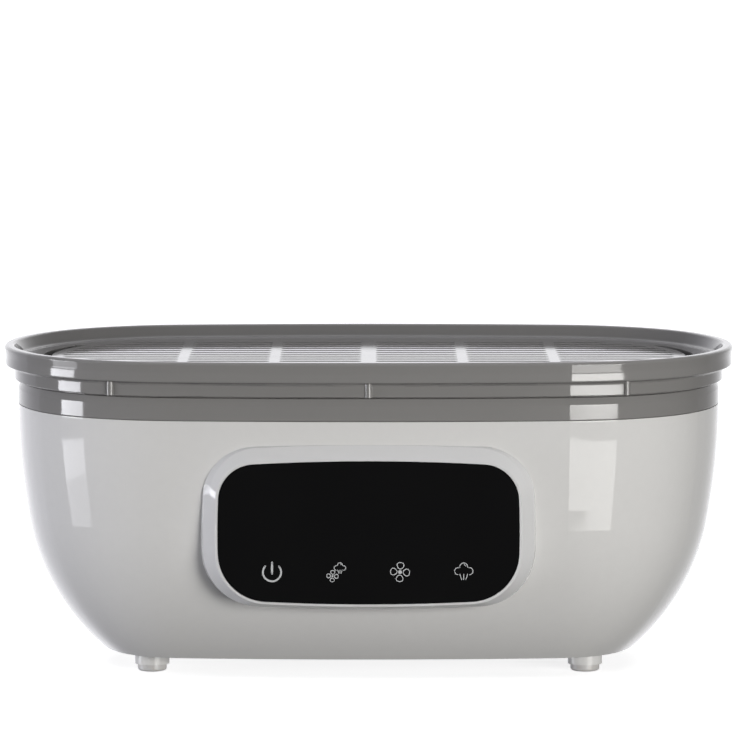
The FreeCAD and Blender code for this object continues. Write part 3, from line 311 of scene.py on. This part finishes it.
metal("ceramic_heater", (0.60, 0.60, 0.62), (0.28, 0.5), scratch=(900.0, 60.0, 200.0))
soft_rubber("silicone_seal", (0.66, 0.67, 0.68), (0.32, 0.48))
circuit_board("board_green", (0.010, 0.085, 0.030), (0.030, 0.19, 0.075), (0.62, 0.62, 0.60),
              (0.22, 0.36))
fibre("filter_felt", (0.80, 0.80, 0.77), 900.0, 1.6e-4)
fibre("foam_black", (0.022, 0.022, 0.023), 1500.0, 1.2e-4)

for part in frame["record"]["subparts"]:
    for slot in nodes[part["node"]].material_slots:
        slot.material = MATERIALS[part["material_slot"]]

# ---- printed icons, drawn in millimetres from the middle of their touch pad ---------------

MILLIMETRES = 1000
INK_LIFT = 0.00005
INK_DEPTH = 0.00008
DISC_SIDES = 20
ARC_STEPS = 40
BLADES = 4
BLADE_TURN = -4
BLADE_POINTS = 48
# Shares of the fan's size: how far out a blade's middle is, and half its length and breadth. The
# taper is how much narrower it is at the hub.
BLADE_OUT, BLADE_REACH, BLADE_BREADTH, BLADE_TAPER = 0.635, 0.33, 0.34, 0.22


class Print:
    """Flat strokes on the glass, gathered into one mesh."""

    def __init__(self, name, across, up):
        glass_low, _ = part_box("touch_glass")
        self.name = name
        self.centre = Vector((across, glass_low.y, up))
        self.points, self.faces = [], []

    def spot(self, x, z):
        """A point in millimetres as a place just in front of the glass."""
        return (self.centre.x + x / MILLIMETRES, self.centre.y - INK_LIFT,
                self.centre.z + z / MILLIMETRES)

    def plate(self, outline):
        """One flat face with its side walls."""
        start, count = len(self.points), len(outline)
        front = [self.spot(x, z) for x, z in outline]
        self.points += front + [(x, y + INK_DEPTH, z) for x, y, z in front]
        self.faces.append(list(range(start, start + count)))
        for index in range(count):
            after = (index + 1) % count
            self.faces.append([start + after, start + index, start + count + index,
                               start + count + after])

    def stroke(self, line, width, closed=False):
        """A run of short quads, with round ends where it isn't closed."""
        half = width / 2
        sides = []
        count = len(line)
        for index, (x, z) in enumerate(line):
            before = line[index - 1] if closed or index else line[index]
            after = line[(index + 1) % count] if closed or index < count - 1 else line[index]
            dx, dz = after[0] - before[0], after[1] - before[1]
            size = math.hypot(dx, dz)
            nx, nz = -dz / size * half, dx / size * half
            sides.append(((x + nx, z + nz), (x - nx, z - nz)))
        for index in range(count if closed else count - 1):
            (a, b), (c, d) = sides[index], sides[(index + 1) % count]
            self.plate([a, b, d, c])
        if not closed:
            for x, z in (line[0], line[-1]):
                self.disc(x, z, half)

    def disc(self, x, z, radius):
        """A filled circle."""
        turns = [math.tau * k / DISC_SIDES for k in range(DISC_SIDES)]
        self.plate([(x + radius * math.cos(t), z + radius * math.sin(t)) for t in turns])

    def arc(self, x, z, radius, start, end, width, steps=ARC_STEPS):
        """An arc of a circle, with angles in degrees from the right."""
        turns = [math.radians(start + (end - start) * k / steps) for k in range(steps + 1)]
        self.stroke([(x + radius * math.cos(t), z + radius * math.sin(t)) for t in turns], width)

    def fan(self, x, z, size, width, hub):
        """Leaf-shaped blades in outline, round a hub. The size is about the outer radius."""
        for blade in range(BLADES):
            turn = math.radians(blade * 360 / BLADES + BLADE_TURN)
            leaf = []
            for k in range(BLADE_POINTS):
                a = math.tau * k / BLADE_POINTS
                along = size * (BLADE_OUT - BLADE_REACH * math.cos(a))
                aside = size * BLADE_BREADTH * math.sin(a) * (1 - BLADE_TAPER * math.cos(a))
                leaf.append((x + along * math.cos(turn) - aside * math.sin(turn),
                             z + along * math.sin(turn) + aside * math.cos(turn)))
            self.stroke(leaf, width, closed=True)
        self.disc(x, z, hub)

    def cloud(self, x, z, size, width, leans):
        """Three lobes open at the foot with a curl in the top one, and steam rising to them. The
        size is about the half width, and each lean places and slants one wisp of the steam."""
        top, shoulder = z + 0.48 * size, z + 0.02 * size
        aside, lobe = 0.60 * size, 0.38 * size
        self.arc(x, top, 0.42 * size, -8, 188, width)
        self.arc(x - aside, shoulder, lobe, 82, 268, width)
        self.arc(x + aside, shoulder, lobe, -88, 98, width)
        self.arc(x, top, 0.24 * size, 15, 80, width * 0.8, steps=12)
        for lean in leans:
            self.stroke([(x + 0.42 * size * lean, z - 0.30 * size),
                         (x + 0.22 * size * lean, z - 0.90 * size)], width)

    def done(self):
        """Makes the mesh, which moves with the base."""
        mesh = bpy.data.meshes.new(self.name)
        mesh.from_pydata(self.points, [], self.faces)
        mesh.materials.append(MATERIALS["icon_ink_painted_glow"])
        mesh.validate()
        piece = bpy.data.objects.new(self.name, mesh)
        scene.collection.objects.link(piece)
        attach(piece, "base")


def draw_power(icon):
    """A ring open at the top, with a bar in the gap."""
    gap = 50
    icon.arc(0.05, -0.05, 3.75, 90 + gap, 450 - gap, width=0.76, steps=64)
    icon.stroke([(0.05, 3.9), (0.05, -0.6)], width=0.86)


def draw_both(icon):
    """A small fan at the lower left, and a small cloud at the upper right."""
    size, width = 2.45, 0.3
    icon.fan(-1.4, -1.65, size, width, hub=0.4)
    icon.cloud(1.7, 1.7, size, width, leans=(-0.9, 0.0, 0.9))


def draw_dry(icon):
    """A large fan."""
    icon.fan(0.1, 0.05, size=4.1, width=0.33, hub=0.8)


def draw_steam(icon):
    """A large cloud."""
    icon.cloud(0, 0.35, size=3.85, width=0.33, leans=(-1.0, 0.0, 1.0))


ICONS = (("icon_power", draw_power), ("icon_steam_and_dry", draw_both),
         ("icon_dry", draw_dry), ("icon_steam", draw_steam))


def print_icons():
    """The icons in a row, each over the middle of its own touch pad."""
    low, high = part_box("touch_pads")
    pad_radius = (high.z - low.z) / 2
    level = (high.z + low.z) / 2
    first = low.x + pad_radius
    pitch = (high.x - low.x - 2 * pad_radius) / (len(ICONS) - 1)
    for index, (name, draw) in enumerate(ICONS):
        icon = Print(name, first + index * pitch, level)
        draw(icon)
        icon.done()


print_icons()

# ---- studio -------------------------------------------------------------------------------

FLOOR_REACH = 30.0
FLOOR_DROP = 0.0002


def pale_floor():
    """A wide pale floor that glows a little, as a lit sweep does. It is clear from below."""
    mesh = bpy.data.meshes.new("floor")
    mesh.from_pydata([(-FLOOR_REACH, -FLOOR_REACH, 0), (FLOOR_REACH, -FLOOR_REACH, 0),
                      (FLOOR_REACH, FLOOR_REACH, 0), (-FLOOR_REACH, FLOOR_REACH, 0)],
                     [], [(0, 1, 2, 3)])
    floor = bpy.data.objects.new("floor", mesh)
    floor.location.z = -FLOOR_DROP
    scene.collection.objects.link(floor)
    paint = Paint("floor_pale", Roughness=0.9, Specular_IOR_Level=0.0, Emission_Strength=0.76,
                  Emission_Color=(1.0, 1.0, 1.0, 1.0))
    paint.colour(paint.blend(paint.noise(3.0, detail=2.0), (0.86, 0.86, 0.86),
                             (0.88, 0.88, 0.88)))
    side = paint.add("ShaderNodeMixShader")
    paint.link(paint.add("ShaderNodeNewGeometry").outputs["Backfacing"], side.inputs["Fac"])
    paint.link(paint.shader.outputs["BSDF"], side.inputs[1])
    paint.link(paint.add("ShaderNodeBsdfTransparent").outputs["BSDF"], side.inputs[2])
    paint.link(side.outputs["Shader"], paint.output.inputs["Surface"])
    mesh.materials.append(paint.material)
    floor.visible_diffuse = False
    floor.visible_glossy = False
    floor.visible_shadow = False


def surroundings():
    """The room as the object sees it: bright overhead and behind, and dim in front, below and to
    the sides."""
    world = bpy.data.worlds.new("studio")
    world.use_nodes = True
    scene.world = world
    room = Graph(world.node_tree)
    x, y, z = room.split(room.add("ShaderNodeTexCoord").outputs["Generated"])

    def ramp(axis, *stops):
        """Tones along an axis, given as places from -1 to 1 with their colours."""
        node = room.add("ShaderNodeValToRGB")
        room.link(room.remap(axis, (-1.0, 1.0)), node.inputs["Fac"])
        tones = node.color_ramp
        tones.interpolation = "EASE"
        while len(tones.elements) < len(stops):
            tones.elements.new(0.5)
        for element, (at, colour) in zip(tones.elements, stops):
            element.position = (at + 1) / 2
            element.color = (*colour, 1.0)
        return node.outputs["Color"]

    height = ramp(z, (-1.0, (0.30, 0.30, 0.30)), (-0.3, (1.0, 1.0, 1.0)), (0.0, (1.0, 1.0, 1.0)),
                  (0.55, (1.0, 1.0, 1.0)), (0.8, (3.5, 3.5, 3.55)), (1.0, (7.0, 7.0, 7.1)))
    depth = ramp(y, (-1.0, (0.10, 0.10, 0.10)), (-0.2, (0.13, 0.13, 0.135)),
                 (0.5, (0.26, 0.26, 0.27)), (0.92, (1.3, 1.3, 1.33)))
    side = ramp(x, (-0.75, (0.45, 0.45, 0.48)), (-0.2, (0.95, 0.95, 0.96)),
                (0.2, (0.95, 0.95, 0.95)), (0.7, (0.3, 0.3, 0.3)))
    light = room.add("ShaderNodeBackground")
    walls = room.blend(1.0, height, depth, way="MULTIPLY")
    room.link(room.blend(1.0, walls, side, way="MULTIPLY"), light.inputs["Color"])
    output = room.add("ShaderNodeOutputWorld")
    room.link(light.outputs["Background"], output.inputs["Surface"])


# Lights are placed by the angles at which this point, at the front of the band, sees them.
BAND_FRONT = Vector((0, -0.09, 0.11))
# A lamp's energy for each square metre of it and each unit of brightness.
ENERGY_UNIT = 4
# Distance and tint of the lights on each side.
RIGHT = (1.8, (1.0, 0.99, 0.965))
LEFT = (1.6, (0.95, 0.955, 1.0))
# Name, what it lights, side, azimuths, elevations and brightness. Angles are in degrees; azimuths
# count from the front, positive to the right.
SOFTBOXES = (
    ("key", "shade", RIGHT, (20, 44), (-9, 13), 10.6),
    ("side_fill", "shade", LEFT, (-104, -72), (-16, 16), 4.7),
    ("right_strip", "gloss", RIGHT, (17.6, 50.5), (-6.0, 3), 10.0),
    ("right_strip_low", "gloss", RIGHT, (17.3, 50.5), (-24, -9.5), 5.0),
    ("left_strip", "gloss", LEFT, (-100, -80), (-6.0, 3), 9.3),
    ("left_strip_low", "gloss", LEFT, (-100, -80), (-14, -8.5), 5.0),
    ("left_strip_fade", "gloss", LEFT, (-100, -80), (-20, -14), 2.5),
)


def softbox(name, lights, side, azimuths, elevations, brightness):
    """An upright rectangular lamp that lights either the shades or the gloss."""
    distance, tint = side
    left, right = azimuths
    around = math.radians((left + right) / 2)
    width = 2 * distance * math.tan(math.radians((right - left) / 2))
    low, high = (distance * math.tan(math.radians(angle)) for angle in elevations)
    lamp = bpy.data.lights.new(name, "AREA")
    lamp.shape = "RECTANGLE"
    lamp.size, lamp.size_y = width, high - low
    lamp.energy = ENERGY_UNIT * brightness * width * (high - low)
    lamp.color = tint
    away = Vector((math.sin(around), -math.cos(around), 0))
    item = bpy.data.objects.new(name, lamp)
    item.location = BAND_FRONT + away * distance + Vector((0, 0, (low + high) / 2))
    item.rotation_euler = away.to_track_quat("Z", "Y").to_euler()
    item.visible_camera = False
    item.visible_diffuse = lights == "shade"
    item.visible_glossy = lights == "gloss"
    scene.collection.objects.link(item)


# The tilt is in degrees down from level, and the lens and its sensor are in millimetres.
CAMERA_PLACE = (0.0006, -2.200, 0.3302)
CAMERA_TILT = 5.33
CAMERA_LENS = 250.1
CAMERA_SENSOR = 36.0
CAMERA_REACH = 100.0


def photo_camera():
    """A long lens in front of the object, tilted down at the photo's angle."""
    camera = bpy.data.cameras.new("camera")
    camera.sensor_width = CAMERA_SENSOR
    camera.lens = CAMERA_LENS
    camera.clip_end = CAMERA_REACH
    seat = bpy.data.objects.new("camera", camera)
    seat.location = CAMERA_PLACE
    seat.rotation_euler = (math.radians(90 - CAMERA_TILT), 0, 0)
    scene.collection.objects.link(seat)
    scene.camera = seat


pale_floor()
surroundings()
for box in SOFTBOXES:
    softbox(*box)
photo_camera()
scene.view_settings.view_transform = "Standard"
